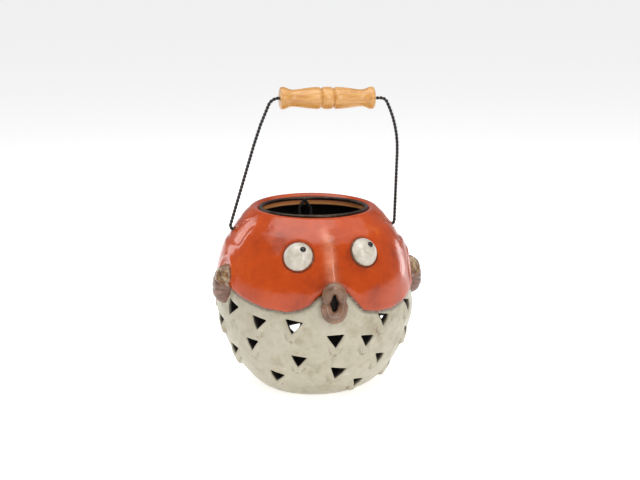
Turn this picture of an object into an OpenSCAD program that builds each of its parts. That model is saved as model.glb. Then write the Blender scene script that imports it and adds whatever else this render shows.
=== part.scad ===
// Puffer-fish garden lantern: a pierced ceramic globe with a lift-out tealight holder and a wire bail.
// Origin at the centre of the flat base, +Z up, the face looks along -Y. Millimetres.

/* [Globe] */
// Largest radius of the globe
globe_r = 82; // [76:1:88]
// Half height of the superellipse that the wall follows
globe_h = 89; // [84:1:96]
// Height of the widest ring above the base
globe_mid = 80; // [76:1:84]
// Exponent of the superellipse, where 2 is an ellipse
fullness = 2.2; // [2:0.05:2.5]
// Wall thickness
wall = 5.5; // [4.5:0.25:6.5]
// Thickness of the floor
floor_t = 7; // [6:0.5:9]

/* [Rim] */
// Radius of the rolled lip's own section
lip_r = 4.75; // [4.5:0.25:5.25]
// Radius from the globe's axis to the middle of the rolled lip
lip_mid_r = 50; // [49.4:0.2:50.6]
// Height of the middle of the rolled lip
lip_z = 147.9; // [147.3:0.2:148.5]

/* [Piercing] */
// Thickness of a thorn's root, below the glaze
thorn_root = 2.5; // [2:0.25:3]
// How far a thorn stands out under its hole
thorn_out = 3.5; // [2:0.25:4.5]
// Distance from a hole's lower corner down to its thorn's tip
thorn_tip = 5; // [3.5:0.25:6]
// Distance from a hole's lower corner down to its thorn's foot
thorn_foot = 8.5; // [7:0.25:9.5]
// Height of a pierced triangle as a share of its width
hole_aspect = 0.72; // [0.6:0.01:0.8]

/* [Face] */
// Diameter of an eyeball
eye_d = 24.5; // [22:0.5:27]
// How far an eyeball stands out
eye_out = 7.5; // [6:0.5:9]
// Height of the eyes
eye_z = 124.5; // [122:0.5:127]
// How much higher the right eye is than the left one
eye_rise = 1.4; // [0:0.2:2]
// Azimuth of each eye from the middle between them
eye_turn = 21.5; // [19:0.5:25]
// Azimuth of the middle between the eyes
eye_lean = 1.8; // [0:0.2:3]
// Diameter of a pupil
pupil_d = 5; // [4:0.5:6]
// Azimuth of the middle of the mouth
mouth_turn = 0.9; // [-1:0.1:2]
// Height of the middle of the mouth
mouth_z = 88.5; // [86:0.5:91]
// Radius of a lip's clay coil
lip_coil = 4.7; // [4.3:0.1:5.1]
// Radius from a lip's middle to the middle of its coil
lip_turn = 6.2; // [5.8:0.1:6.6]

/* [Fins] */
// Azimuth of the left side fin, to the left of the nose line
fin_turn_left = 74; // [68:1:80]
// Azimuth of the right side fin, to the right of the nose line
fin_turn_right = 80; // [74:1:86]
// Height of the middle of the side fins
fin_z = 94; // [90:0.5:96]
// Height of the middle of the tail fin
tail_z = 90; // [86:0.5:94]
// Length of a side fin, from top to bottom
fin_len = 34; // [30:1:38]
// Width of a side fin, from front to back
fin_w = 21; // [17:1:24]
// How far a side fin stands out
fin_out = 10; // [8:0.5:11]
// How far the tail fin stands out
tail_out = 12; // [10:0.5:13]

/* [Candle holder] */
// Wire radius of the rim ring
ring_wire_r = 1.5; // [1.4:0.05:1.6]
// Radius of the rim ring, to the middle of its wire
ring_r = 44.25; // [44:0.05:44.5]
// Inner radius of the tealight cup
cup_r = 20.5; // [20:0.25:21.5]
// Depth of the tealight cup
cup_depth = 12; // [9:1:14]
// Height of the underside of the cup
cup_z = 90; // [84:1:96]
// Sheet thickness of the cup
cup_t = 1; // [0.8:0.1:1.2]
// Wire radius of the hangers
hanger_wire_r = 1.1; // [1:0.05:1.2]

/* [Bail and grip] */
// Wire radius of the bail
bail_wire_r = 1.35; // [1.2:0.05:1.5]
// Height of the bail's hinge line
hinge_z = 134.5; // [134:0.5:135]
// Radius of the two holes that the bail hooks through
bail_hole_r = 2.5; // [2.2:0.1:2.8]
// Length of the wooden grip
grip_len = 79; // [76:1:82]
// Radius of the grip's end collars
grip_r = 9.5; // [9:0.25:10]
// Distance of the grip's middle to the right of the globe's axis
grip_x = 11.5; // [10.5:0.5:12.5]
// Height of the grip's middle
grip_z = 242.1; // [241.5:0.1:242.7]
// Slope of the grip, down to the right, in degrees
grip_tilt = 0.9; // [0.5:0.1:1.3]

/* [Hidden] */
$fn = 48;

// Pierced triangles on the belly: azimuth from the nose line, height, width, and clockwise turn
front_holes = [
    [-65, 75.5, 15.5, 20], [-43.5, 68, 14, 12], [-22, 67.5, 15, 10], [33.5, 69, 13, 12], [58.5, 74, 13.5, 12],
    [-83, 59, 13, 12], [2.7, 55, 15, -2], [22.7, 53, 13, 6], [65, 49, 12.5, 8],
    [-51.5, 47, 13.5, 5], [-74.5, 36, 13, 14], [-20, 36.5, 13.5, 8], [37, 34, 12, 10],
    [-39.5, 18.5, 14, 20], [6.3, 24.5, 15, 12], [64, 20, 12.5, 5], [29.5, 11, 12, 8]
];
// Rows of the far side: height, count, first azimuth, step
back_rows = [[74, 6, 98, 31], [58, 4, 90, 46], [41.5, 4, 115.5, 45], [27, 5, 100, 42], [14, 3, 118, 60]];
back_turn = 9;                       // lean of a far-side triangle, left and right in turn
back_w = 12.5;
back_holes = [for (row = back_rows) for (i = [0 : row[1] - 1])
    [row[2] + i * row[3], row[0], back_w, back_turn * (i % 2 == 0 ? 1 : -1)]];
holes = concat(front_holes, back_holes);

profile_steps = 22;                  // straight lengths in each of the wall's two outlines
outer_top_z = 150.2;                 // where the globe's curve runs into the rolled lip
inner_top_z = 146;                   // underside of the lip
lip_throat = 2;                      // rounding under the lip
through = 14;                        // length of a cutter that passes the wall
ring_gap = 0.3;                      // air between the ring and the glaze of the lip
ring_z = lip_z + sqrt(pow(lip_r + ring_wire_r + ring_gap, 2) - pow(lip_mid_r - ring_r, 2));
ball = 1.04;                         // a wire's corner balls, as a share of its radius
bend_step = 11;                      // degrees of bend between two rings of the bail
bail_sides = 12;                     // sides of the bail's bends
core_r = bail_wire_r - 0.04;         // the bail's bends, a hair slimmer than its pins and its axle
pin_len = 12;                        // straight length of each hinge pin

// Radius of the superellipse at height z, drawn in by inset
function shell_r(z, inset = 0) =
    (globe_r - inset) * pow(1 - pow(abs(z - globe_mid) / (globe_h - inset), fullness), 1 / fullness);
// Angle of the outer surface's normal above the horizontal at height z
function slope(z) = atan2(
    sign(z - globe_mid) * pow(abs(z - globe_mid) / globe_h, fullness - 1) / globe_h,
    pow(shell_r(z) / globe_r, fullness - 1) / globe_r);

// Places children on the globe's outer surface: local +Z is the outward normal, +Y points up the wall
module on_shell(az, z) {
    rotate([0, 0, az]) translate([0, -shell_r(z), z]) rotate([90 - slope(z), 0, 0]) children();
}

// A round wire through a list of points, with a slightly fatter ball in each corner
module wire(points, r) {
    for (i = [0 : len(points) - 2]) {
        run = points[i + 1] - points[i];
        translate(points[i]) rotate([0, acos(run[2] / norm(run)), atan2(run[1], run[0])])
            cylinder(h = norm(run), r = r);
    }
    for (i = [1 : len(points) - 2]) translate(points[i]) sphere(r * ball);
}

module wall_section() {
    outer = [for (i = [0 : profile_steps]) let (z = outer_top_z * i / profile_steps) [shell_r(z), z]];
    inner = [for (i = [profile_steps : -1 : 0])
        let (z = floor_t + (inner_top_z - floor_t) * i / profile_steps) [shell_r(z, wall), z]];
    lip = [for (a = [65 : 11.5 : 180]) [lip_mid_r + lip_r * cos(a), lip_z + lip_r * sin(a)]];
    under = [[lip_mid_r - lip_r + lip_throat, inner_top_z]];
    polygon(concat([[0, 0]], outer, lip, under, inner, [[0, floor_t]]));
}

// A thorn: a four-cornered clay point around the lower edges of its hole, with its tip below the hole
module thorn(w) {
    up = 0.45 * hole_aspect * w;
    down = -0.5 * hole_aspect * w;
    polyhedron(
        points = [[-0.75 * w, up, -thorn_root], [0.75 * w, up, -thorn_root],
                  [0, down - thorn_foot, -thorn_root], [0, down - thorn_tip, thorn_out]],
        faces = [[2, 1, 0], [1, 3, 0], [2, 3, 1], [0, 3, 2]]);
}

module pierced(w) {
    half_drop = hole_aspect * w / 2;
    translate([0, 0, -through / 2]) linear_extrude(through)
        polygon([[-w / 2, half_drop], [w / 2, half_drop], [0, -half_drop]]);
}

module body() {
    color("chocolate") difference() {
        union() {
            rotate_extrude($fn = 96) wall_section();
            for (hole = holes) on_shell(hole[0], hole[1]) rotate(-hole[3]) thorn(hole[2]);
        }
        for (hole = holes) on_shell(hole[0], hole[1]) rotate(-hole[3]) pierced(hole[2]);
        translate([-globe_r, 0, hinge_z]) rotate([0, 90, 0]) cylinder(h = 2 * globe_r, r = bail_hole_r);
    }
}

module on_eye(side) {
    on_shell(eye_lean + side * eye_turn, eye_z + side * eye_rise / 2) children();
}

// A dome as high as eye_out over a flat disc, sunk a little into the wall
module eyeball(side) {
    sunk = 1.5;
    tall = eye_out + sunk;
    color("ivory") on_eye(side) translate([0, 0, -sunk])
        rotate_extrude() polygon(concat([[0, 0]],
            [for (a = [0 : 6 : 90]) [eye_d / 2 * cos(a), tall * sin(a)]]));
}
module eye_left() { eyeball(-1); }
module eye_right() { eyeball(1); }

// Both pupils look up and to the right
module pupil(side) {
    look = side < 0 ? [4.4, 5.1] : [3.5, 4.3];
    color("black") on_eye(side) translate([look[0], look[1], eye_out - 1.4])
        rotate([-22, 15, 0]) rotate_extrude() polygon(concat([[0, -1], [pupil_d / 2, -1]],
            [for (a = [0 : 10 : 90]) [pupil_d / 2 * cos(a), 1.6 * sin(a)]]));
}
module pupil_left() { pupil(-1); }
module pupil_right() { pupil(1); }

module lip_lobe(rise) {
    color("rosybrown") on_shell(mouth_turn, mouth_z) translate([0, rise * (lip_turn - 0.4), lip_coil - 1])
        rotate_extrude() translate([lip_turn, 0]) circle(lip_coil);
}
module upper_lip() { lip_lobe(1); }
module lower_lip() { lip_lobe(-1); }

module side_fin(side) {
    edge_r = 5;
    reach = fin_len / 2 - edge_r;
    color("rosybrown") on_shell(side < 0 ? -fin_turn_left : fin_turn_right, fin_z) hull() {
        for (y = [-1, 1]) translate([0, y * reach, 0]) sphere(edge_r, $fn = 24);
        for (x = [-1, 1]) translate([x * (fin_w / 2 - edge_r), -1, 0.5]) sphere(edge_r, $fn = 24);
        translate([0, -2, fin_out - 1.4 * edge_r]) sphere(1.4 * edge_r, $fn = 24);
    }
}
module fin_left() { side_fin(-1); }
module fin_right() { side_fin(1); }

module tail_fin() {
    edge_r = 3;
    spread = 13;
    color("rosybrown") on_shell(180, tail_z) hull() {
        translate([0, -6, 0]) sphere(edge_r, $fn = 24);
        translate([0, 6, 0]) sphere(edge_r, $fn = 24);
        for (y = [-1, 1]) translate([0, y * spread, tail_out - edge_r]) sphere(edge_r, $fn = 24);
    }
}

// The ring rests on the inner slope of the rolled lip
module rim_ring() {
    color("dimgray") translate([0, 0, ring_z]) rotate_extrude($fn = 96)
        translate([ring_r, 0]) circle(ring_wire_r);
}

// A wire bent like a hairpin, with its point under the ring and its two feet on the cup's side
module hanger(turn) {
    spread = 5;
    cup_side = cup_r + cup_t + hanger_wire_r - 0.25;
    half = [for (q = [[cup_side, cup_z + 3], [cup_side, cup_z + cup_depth], [ring_r - 3.2, ring_z - 8]])
        [spread, q[0], q[1]]];
    point = [0, ring_r - ring_wire_r - 0.4, ring_z - 1];
    other = [for (i = [2 : -1 : 0]) [-half[i][0], half[i][1], half[i][2]]];
    color("dimgray") rotate([0, 0, turn]) wire(concat(half, [point], other), hanger_wire_r);
}
module hanger_back() { hanger(0); }
module hanger_left() { hanger(120); }
module hanger_right() { hanger(240); }

module candle_cup() {
    color("dimgray") translate([0, 0, cup_z]) difference() {
        cylinder(h = cup_depth + cup_t, r = cup_r + cup_t, $fn = 96);
        translate([0, 0, cup_t]) cylinder(h = cup_depth + 1, r = cup_r, $fn = 96);
    }
}

// The bail as a wire bender's list, from the grip outwards: [straight length, bend radius, bend angle].
// The last straight is as long as it takes to bring the elbow down to the hinge line, and the pin runs
// inwards to hook_x, where the end curls up inside the wall.
elbow_r = 3.2;
hook_x = 52;
hook_len = 4;
left_bends = [[1, 9, 66], [0, 250, 8]];
right_bends = [[6, 6, 63], [0, 90, 28]];
grip_out = grip_len / 2 * cos(grip_tilt);
grip_drop = grip_len / 2 * sin(grip_tilt);

// Stations [x, z, heading] along a list of bends, where x grows outwards and heading turns down
function walk(bends, p, a, i = 0) = i == len(bends) ? [] :
    let (b = bends[i], q = p + b[0] * [cos(a), -sin(a)], c = q - b[1] * [sin(a), cos(a)],
         steps = ceil(b[2] / bend_step), first = b[0] > 0 ? 0 : 1,
         arc = [for (k = [first : steps]) let (t = a + b[2] * k / steps)
             [c[0] + b[1] * sin(t), c[1] + b[1] * cos(t), t]],
         end = arc[len(arc) - 1])
    concat(arc, walk(bends, [end[0], end[1]], end[2], i + 1));
function last(list) = list[len(list) - 1];
// Adds the straight and the elbow that end on the hinge line, heading inwards
function with_elbow(bends, p, a) = let (e = last(walk(bends, p, a)))
    concat(bends, [[(e[1] - hinge_z - elbow_r * (1 + cos(e[2]))) / sin(e[2]), elbow_r, 180 - e[2]]]);
// Adds the pin and the curled end
function with_hook(bends, p, a) = let (e = last(walk(bends, p, a)))
    concat(bends, [[e[0] - hook_x, elbow_r, 90], [hook_len, elbow_r, bend_step]]);
function leg(bends, p, a) = let (b = with_elbow(bends, p, a)) walk(with_hook(b, p, a), p, a);
// The same stations as [x, z, normal x, normal z] on the side of the globe that side says
function stations(list, side) = [for (q = list) [side * q[0], q[1], side * sin(q[2]), cos(q[2])]];

module bail_wire() {
    right = stations(leg(right_bends, [grip_out + grip_x, grip_z - grip_drop], grip_tilt), 1);
    left = stations(leg(left_bends, [grip_out - grip_x, grip_z + grip_drop], -grip_tilt), -1);
    path = concat([for (i = [len(left) - 1 : -1 : 0]) left[i]], right);
    n = bail_sides;
    points = [for (q = path) for (j = [0 : n - 1]) let (c = core_r * cos(360 * j / n))
        [q[0] + c * q[2], core_r * sin(360 * j / n), q[1] + c * q[3]]];
    sides = [for (i = [0 : len(path) - 2]) for (j = [0 : n - 1])
        let (a = i * n + j, b = i * n + (j + 1) % n) each [[a, b, b + n], [a, b + n, a + n]]];
    caps = [[for (j = [n - 1 : -1 : 0]) j], [for (j = [0 : n - 1]) (len(path) - 1) * n + j]];
    color("#362f2a") {
        polyhedron(points, concat(sides, caps));
        for (side = [-1, 1]) translate([side * (hook_x + pin_len / 2), 0, hinge_z]) rotate([0, 90, 0])
            cylinder(h = pin_len, r = bail_wire_r, center = true);
        translate([grip_x, 0, grip_z]) rotate([0, 90 + grip_tilt, 0])
            cylinder(h = grip_len, r = bail_wire_r, center = true);
    }
}

// Turned wood: flared collars, two barrels and a bead between two grooves
module grip() {
    half = grip_len / 2;
    bore_r = bail_wire_r + 0.35;
    quarter = [[half, bore_r], [half, grip_r - 1], [half - 1, grip_r], [half - 4.5, grip_r - 0.3],
               [half - 8, grip_r - 2.2], [half - 12, grip_r - 2.4], [half - 17, grip_r - 1.3],
               [half - 23, grip_r - 0.4], [half - 29, grip_r - 0.4], [half - 33.5, grip_r - 1.3],
               [half - 34.5, grip_r - 2.1], [half - 35.5, grip_r - 0.9], [0, grip_r - 0.3]];
    outline = concat([for (q = quarter) [q[1], q[0]]],
                     [for (i = [len(quarter) - 2 : -1 : 0]) [quarter[i][1], -quarter[i][0]]]);
    color("burlywood") translate([grip_x, 0, grip_z]) rotate([0, 90 + grip_tilt, 0])
        rotate_extrude($fn = 64) polygon(outline);
}

body();
eye_left();
eye_right();
pupil_left();
pupil_right();
upper_lip();
lower_lip();
fin_left();
fin_right();
tail_fin();
rim_ring();
hanger_back();
hanger_left();
hanger_right();
candle_cup();
bail_wire();
grip();
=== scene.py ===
import math
import bpy
import numpy as np
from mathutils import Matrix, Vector
from mathutils.geometry import delaunay_2d_cdt


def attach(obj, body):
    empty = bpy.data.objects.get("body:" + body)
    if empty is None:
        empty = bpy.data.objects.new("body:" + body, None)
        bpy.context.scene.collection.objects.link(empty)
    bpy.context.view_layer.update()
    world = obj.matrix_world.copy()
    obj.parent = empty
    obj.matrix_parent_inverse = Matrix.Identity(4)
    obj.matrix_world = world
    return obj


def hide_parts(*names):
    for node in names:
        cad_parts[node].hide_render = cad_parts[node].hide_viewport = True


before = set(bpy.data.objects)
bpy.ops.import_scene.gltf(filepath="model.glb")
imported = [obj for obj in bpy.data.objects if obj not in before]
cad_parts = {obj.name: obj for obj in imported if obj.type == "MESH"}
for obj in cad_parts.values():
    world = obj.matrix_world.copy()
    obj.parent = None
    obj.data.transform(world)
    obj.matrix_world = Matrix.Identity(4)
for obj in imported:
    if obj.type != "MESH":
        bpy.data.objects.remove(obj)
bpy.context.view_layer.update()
mm = 0.001


def linear(hexColour):
    # sRGB hex to linear RGBA
    channels = [int(hexColour[i:i + 2], 16) / 255 for i in (1, 3, 5)]
    return [c / 12.92 if c <= 0.04045 else ((c + 0.055) / 1.055) ** 2.4 for c in channels] + [1.0]


def smooth(edge0, edge1, x):
    # 0 below edge0, 1 above edge1, an s-curve between
    t = np.clip((x - edge0) / (edge1 - edge0), 0, 1)
    return t * t * (3 - 2 * t)


def makePiece(name, points, faces, attributes=None, body="globe"):
    # points in mm, faces as arrays of triangles or quads
    mesh = bpy.data.meshes.new(name)
    mesh.from_pydata((np.asarray(points) * mm).tolist(), [], [f for part in faces for f in part.tolist()])
    for key, values in (attributes or {}).items():
        layer = mesh.attributes.new(key, "FLOAT", "POINT")
        layer.data.foreach_set("value", np.asarray(values, np.float32))
    mesh.shade_smooth()
    mesh.update()
    piece = bpy.data.objects.new(name, mesh)
    bpy.context.scene.collection.objects.link(piece)
    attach(piece, body)
    return piece


def gridFaces(rows, columns, flip=False):
    # quads of a grid of points whose columns close on themselves
    r, c = np.meshgrid(np.arange(rows - 1), np.arange(columns), indexing="ij")
    a = r * columns + c
    b = r * columns + (c + 1) % columns
    quads = np.stack([a, b, b + columns, a + columns], -1).reshape(-1, 4)
    return quads[:, ::-1] if flip else quads


def tube(path, radius, reference, sides):
    # a circle carried along a path: its plane is square to the path, turned from the reference direction
    ahead = np.roll(path, -1, 0) - np.roll(path, 1, 0)
    ahead[0], ahead[-1] = path[1] - path[0], path[-1] - path[-2]
    ahead /= np.linalg.norm(ahead, axis=1)[:, None]
    side = np.cross(ahead, np.asarray(reference, float))
    side /= np.linalg.norm(side, axis=1)[:, None]
    up = np.cross(side, ahead)
    turn = np.linspace(0, 2 * np.pi, sides, endpoint=False)
    r = np.broadcast_to(np.asarray(radius, float), len(path))[:, None, None]
    rings = path[:, None] + r * (np.cos(turn)[None, :, None] * side[:, None]
                                 + np.sin(turn)[None, :, None] * up[:, None])
    points = np.vstack([rings.reshape(-1, 3), path[:1], path[-1:]])
    first, last = len(points) - 2, len(points) - 1  # the middles of the two ends
    j = np.arange(sides)
    k = (j + 1) % sides
    end = (len(path) - 1) * sides
    faces = [gridFaces(len(path), sides), np.stack([k, j, np.full(sides, first)], -1),
             np.stack([end + j, end + k, np.full(sides, last)], -1)]
    return points, faces


def joined(parts):
    # several (points, faces) as one
    points, faces, count = [], [], 0
    for p, fs in parts:
        points.append(p)
        faces += [f + count for f in fs]
        count += len(p)
    return np.vstack(points), faces


# settings that many of the materials' nodes share
minus = {"operation": "SUBTRACT"}
times = {"operation": "MULTIPLY"}
timesPlus = {"operation": "MULTIPLY_ADD"}
blend = {"data_type": "RGBA", "clamp_factor": True}


def addNode(tree, kind, settings=None, inputs=(), stops=(), out=0):
    # a node with its settings and ramp stops; an input is a value, a hex colour or another node's output
    node = tree.nodes.new("ShaderNode" + kind)
    for key, value in (settings or {}).items():
        setattr(node, key, value)
    for key, value in inputs.items() if isinstance(inputs, dict) else enumerate(inputs):
        if isinstance(value, bpy.types.NodeSocket):
            tree.links.new(value, node.inputs[key])
        else:
            node.inputs[key].default_value = linear(value) if isinstance(value, str) else value
    for extra in stops[2:]:
        node.color_ramp.elements.new(0.5)
    for index, (place, colour) in enumerate(stops):
        element = node.color_ramp.elements[index]
        element.position = place
        element.color = linear(colour) if isinstance(colour, str) else [colour] * 3 + [1]
    return node.outputs[out]


def newMaterial(name, settings):
    material = bpy.data.materials.new(name)
    material.use_nodes = True
    tree = material.node_tree
    shader = tree.nodes["Principled BSDF"]
    for key, value in settings.items():
        shader.inputs[key].default_value = linear(value) if isinstance(value, str) else value
    return material, tree, shader


def stonewareGlaze():
    # slip-cast earthenware: a thick glossy orange glaze over the back, a thin satin cream one on the belly,
    # near black inside; iron speckles gather where the two glazes meet, the cream goes brown along the lower
    # edges of the thorns and under their tips, and painted highlights lie down the nose and on the rim's lip
    material, tree, shader = newMaterial("stonewareGlaze", {"IOR": 1.5})
    where = addNode(tree, "TexCoord", out="Object")
    border, brownAndLipHighlight, inside, fleck, crest = [
        addNode(tree, "Attribute", {"attribute_name": name}, out="Fac")
        for name in ("borderMm", "brownAndLipHighlight", "inside", "fleck", "crest")]
    # clouds of 42 mm, mottle of 9 mm, grain of 1.6 mm, iron specks of 1.1 mm and the belly's smoke of 17 mm
    cloud, mottle, grain, speck, smoke = [
        addNode(tree, "TexNoise", {}, {"Vector": where, "Scale": 1 / (size * mm), "Detail": detail,
                                       "Roughness": rough})
        for size, detail, rough in ((42, 5, 0.6), (9, 4, 0.6), (1.6, 3, 0.6), (1.1, 2, 0.5), (17, 5, 0.65))]
    tone = addNode(tree, "Math", timesPlus, [cloud, 0.7, addNode(tree, "Math", times, [mottle, 0.3])])
    orange = addNode(tree, "ValToRGB", {}, [tone],
                     [(0.3, "#862A02"), (0.45, "#AC3C02"), (0.58, "#BA4404"), (0.75, "#CB5C10")])
    flecked = addNode(tree, "Math", timesPlus, [speck, 0.5, fleck])
    browned = addNode(tree, "ValToRGB", {}, [flecked], [(0.6, 0.0), (0.8, 0.85)])
    orange = addNode(tree, "Mix", blend, {0: browned, 6: orange, 7: "#5E2408"}, out=2)
    # a painted highlight down the ridge of the nose, broken up by the mottle
    ridge = addNode(tree, "Math", times, [crest, mottle])
    orange = addNode(tree, "Mix", blend, {0: ridge, 6: orange, 7: "#E89A78"}, out=2)
    # on the orange the same attribute paints a highlight along the rim's under edge and paler painted light in its
    # throat
    orange = addNode(tree, "Mix", blend, {0: brownAndLipHighlight, 6: orange, 7: "#FFB070"}, out=2)
    tone = addNode(tree, "Math", timesPlus, [cloud, 0.5, addNode(tree, "Math", times, [mottle, 0.5])])
    cream = addNode(tree, "ValToRGB", {}, [tone],
                    [(0.3, "#8F8770"), (0.45, "#ADA690"), (0.6, "#B9B29E"), (0.75, "#C5C0AE")])
    smoked = addNode(tree, "ValToRGB", {}, [smoke], [(0.52, 0.0), (0.72, 0.5)])
    cream = addNode(tree, "Mix", blend, {0: smoked, 6: cream, 7: "#8A7654"}, out=2)
    # on the cream the same attribute browns the thorns' lower edges and the patches under their tips
    brownShare = addNode(tree, "Math", timesPlus, [brownAndLipHighlight, 0.6, addNode(tree, "Math", times, [grain, 0.62])])
    spotted = addNode(tree, "ValToRGB", {}, [brownShare], [(0.55, 0.0), (0.86, 0.9)])
    cream = addNode(tree, "Mix", blend, {0: spotted, 6: cream, 7: "#5E4525"}, out=2)
    # the border wanders by 1.4 mm to each side
    wander = addNode(tree, "Math", minus, [mottle, 0.5])
    ragged = addNode(tree, "Math", timesPlus, [wander, 2.8, border])
    back = addNode(tree, "Math", timesPlus, [ragged, 1.1, 0.5])
    outside = addNode(tree, "Mix", blend, {0: back, 6: cream, 7: orange}, out=2)
    across = addNode(tree, "Math", timesPlus, [ragged, 0.1, 0.5])
    edge = addNode(tree, "ValToRGB", {}, [across], [(0.2, 0.0), (0.38, 0.7), (0.5, 1.0), (0.6, 0.0)])
    broken = addNode(tree, "ValToRGB", {}, [grain], [(0.34, 0.35), (0.52, 1.0)])
    speckled = addNode(tree, "Math", times, [edge, broken])
    outside = addNode(tree, "Mix", blend, {0: speckled, 6: outside, 7: "#4A2B14"}, out=2)
    whole = addNode(tree, "Mix", blend, {0: inside, 6: outside, 7: "#150C07"}, out=2)
    tree.links.new(whole, shader.inputs["Base Color"])
    gloss = addNode(tree, "Mix", {"clamp_factor": True}, {0: back, 2: 0.36, 3: 0.13})
    dull = addNode(tree, "Mix", {"clamp_factor": True}, {0: inside, 2: gloss, 3: 0.85})
    tree.links.new(dull, shader.inputs["Roughness"])
    pits = addNode(tree, "Math", timesPlus, [grain, 0.2, mottle])
    swells = addNode(tree, "Math", timesPlus, [cloud, 3.0, pits])
    bump = addNode(tree, "Bump", {}, {"Strength": 0.6, "Distance": 0.45 * mm, "Height": swells})
    tree.links.new(bump, shader.inputs["Normal"])
    return material


globe = {
    "radius": 82.0, "halfHeight": 89.0, "middle": 80.0, "fullness": 2.2,  # superellipse of the wall
    "wall": 5.5,
    "columns": 336, "spacing": 1.5, "innerSpacing": 4.0,  # mesh sizes in mm
    "seam": 106.8,                # azimuth of the mesh's seam, where no hole comes near
    "bandLow": 2.0, "bandHigh": 146.0,  # heights between which the wall is pierced
    "lipMiddle": 50.0, "lipHeight": 147.9, "lipRadius": 4.75,
    "backRise": 2.0, "foreDrop": 1.9,  # how much higher the rim's crest is at the back, and lower in front
}
# pierced triangles: azimuth from the nose line, height, width, clockwise turn
frontHoles = [(-65, 75.5, 15.5, 20), (-43.5, 68, 14, 12), (-22, 67.5, 15, 10), (33.5, 69, 13, 12),
              (58.5, 74, 13.5, 12), (-83, 59, 13, 12), (2.7, 55, 15, -2), (22.7, 53, 13, 6), (65, 49,
                                                                                              12.5, 8),
              (-51.5, 47, 13.5, 5), (-74.5, 36, 13, 14), (-20, 36.5, 13.5, 8), (37, 34, 12, 10),
              (-39.5, 18.5, 14, 20), (6.3, 24.5, 15, 12), (64, 20, 12.5, 5), (29.5, 11, 12, 8)]
backRows = [(74, 6, 98, 31), (58, 4, 90, 46), (41.5, 4, 115.5, 45), (27, 5, 100, 42), (14, 3, 118, 60)]
backHoles = [(first + i * step, z, 12.5, 9 if i % 2 == 0 else -9)
             for z, count, first, step in backRows for i in range(count)]
holes = frontHoles + backHoles
hole = {"aspect": 0.74, "corner": 0.5, "edge": 1.0, "arcPoints": 4, "sidePoints": 8,
        "rings": (0.0, 0.3, 0.75, 1.4, 2.3)}
thorn = {"side": 2.6, "drop": 6.6, "height": 2.9}
bailHole = {  # a level hole along X; the wall is plain close to it and lower where the legs swing past
    "radius": 2.5, "height": 134.5, "points": 20, "plain": 3.5, "lowered": 7.0, "lower": 0.55,
    "sweptAcross": (34, 26), "sweptTall": (14, 8), "sweptRise": 1.5,
}
mask = {  # lower border of the orange glaze: azimuth and height, and how far it stands above the belly
    "azimuth": (-180, -150, -120, -95, -80, -65, -55, -40, -26, -18, -12, -7, 0, 6, 11, 15, 20, 29, 41,
                51, 62, 80, 95,
                120, 150, 180),
    "height": (86, 82, 86, 93, 95, 92, 87.5, 82, 80, 82, 86, 94, 99, 99, 93, 85.5, 79.5, 77, 77, 79.5,
               84.5, 91, 92,
               86, 82, 86),
    "rise": 1.7, "round": 2.2, "belly": -0.6, "groove": 0.35,
}
belly = {"out": 0.5, "tuck": 1.7, "flank": 2.6,
         "foot": 0.7}  # how far the thrown belly strays from the wall
face = {  # nose ridge and cheeks, in mm round the wall from the nose line, in height and outwards
    # the crest keys: width and strength of a painted highlight down the nose
    "noseX": 1.5, "noseWide": 6.6, "noseTop": 1.2, "noseSwell": 2.8, "crestWide": 4.2, "crestHighlight": 0.9,
    "cheekX": 34, "cheekZ": 95, "cheekWide": 20, "cheekTall": 15, "cheekOut": 1.9,
}
eyes = {  # azimuth, height, and where the pupil sits from the middle of the dome
    "left": (-19.7, 123.8, (4.4, 5.1)), "right": (23.3, 125.2, (3.5, 4.3)),
    "radius": 12.1, "out": 7.5, "sunk": 1.5, "pupilRadius": 2.5, "pupilOut": 1.5, "pupilSunk": 0.7,
    "groove": 0.6, "browned": 0.85,
}
mouth = {"azimuth": 0.9, "height": 88.5, "half": 6.2, "tall": 12.4, "coil": 4.1, "swell": 0.9}
fins = {  # each side's azimuth and height, then the size
    "left": (-74.0, 94.0), "right": (80.0, 94.0), "tail": (180.0, 90.0),
    "long": 34.0, "wide": 22.0, "out": 9.5, "lean": 12.0, "sunk": 3.0,
    "grooves": (-38, -14, 12, 38), "grooveWide": 3.4, "grooveDeep": 0.55,
}
crease = {"left": [(-92, 134), (-83, 139.4), (-77.7, 143.4), (-72, 146.5)],  # seams on the shoulders
          "right": [(88, 134), (77.7, 142.1), (69, 146.5)]}


def shellRadius(z, inset=0.0):
    # superellipse: R (1 - |(z - m) / h|^p)^(1/p)
    g = globe
    share = np.abs(z - g["middle"]) / (g["halfHeight"] - inset)
    return (g["radius"] - inset) * (1 - np.clip(share, 0, 1) ** g["fullness"]) ** (1 / g["fullness"])


def shellSlope(z):
    # angle of the wall's normal above the horizontal, in radians
    g = globe
    rise = np.sign(z - g["middle"]) * (np.abs(z - g["middle"]) / g["halfHeight"]) ** (g["fullness"] - 1)
    run = (shellRadius(z) / g["radius"]) ** (g["fullness"] - 1)
    return np.arctan2(rise / g["halfHeight"], run / g["radius"])


# arc length of the wall's outline against height, so a chart of azimuth and arc length is nearly true to size
outlineZ = np.linspace(0, 152, 3000)
outlineLength = np.concatenate([[0], np.cumsum(np.hypot(np.diff(shellRadius(outlineZ)),
                                                        np.diff(outlineZ)))])


def lengthAt(z):
    return np.interp(z, outlineZ, outlineLength)


def heightAt(length):
    return np.interp(length, outlineLength, outlineZ)


def onWall(azimuth, z, out=0.0):
    # a point of the wall, out mm along its normal; azimuth in radians from the nose line towards +X
    slope = shellSlope(z)
    r = shellRadius(z) + out * np.cos(slope)
    return np.stack([r * np.sin(azimuth), -r * np.cos(azimuth), z + out * np.sin(slope)], -1)


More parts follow.
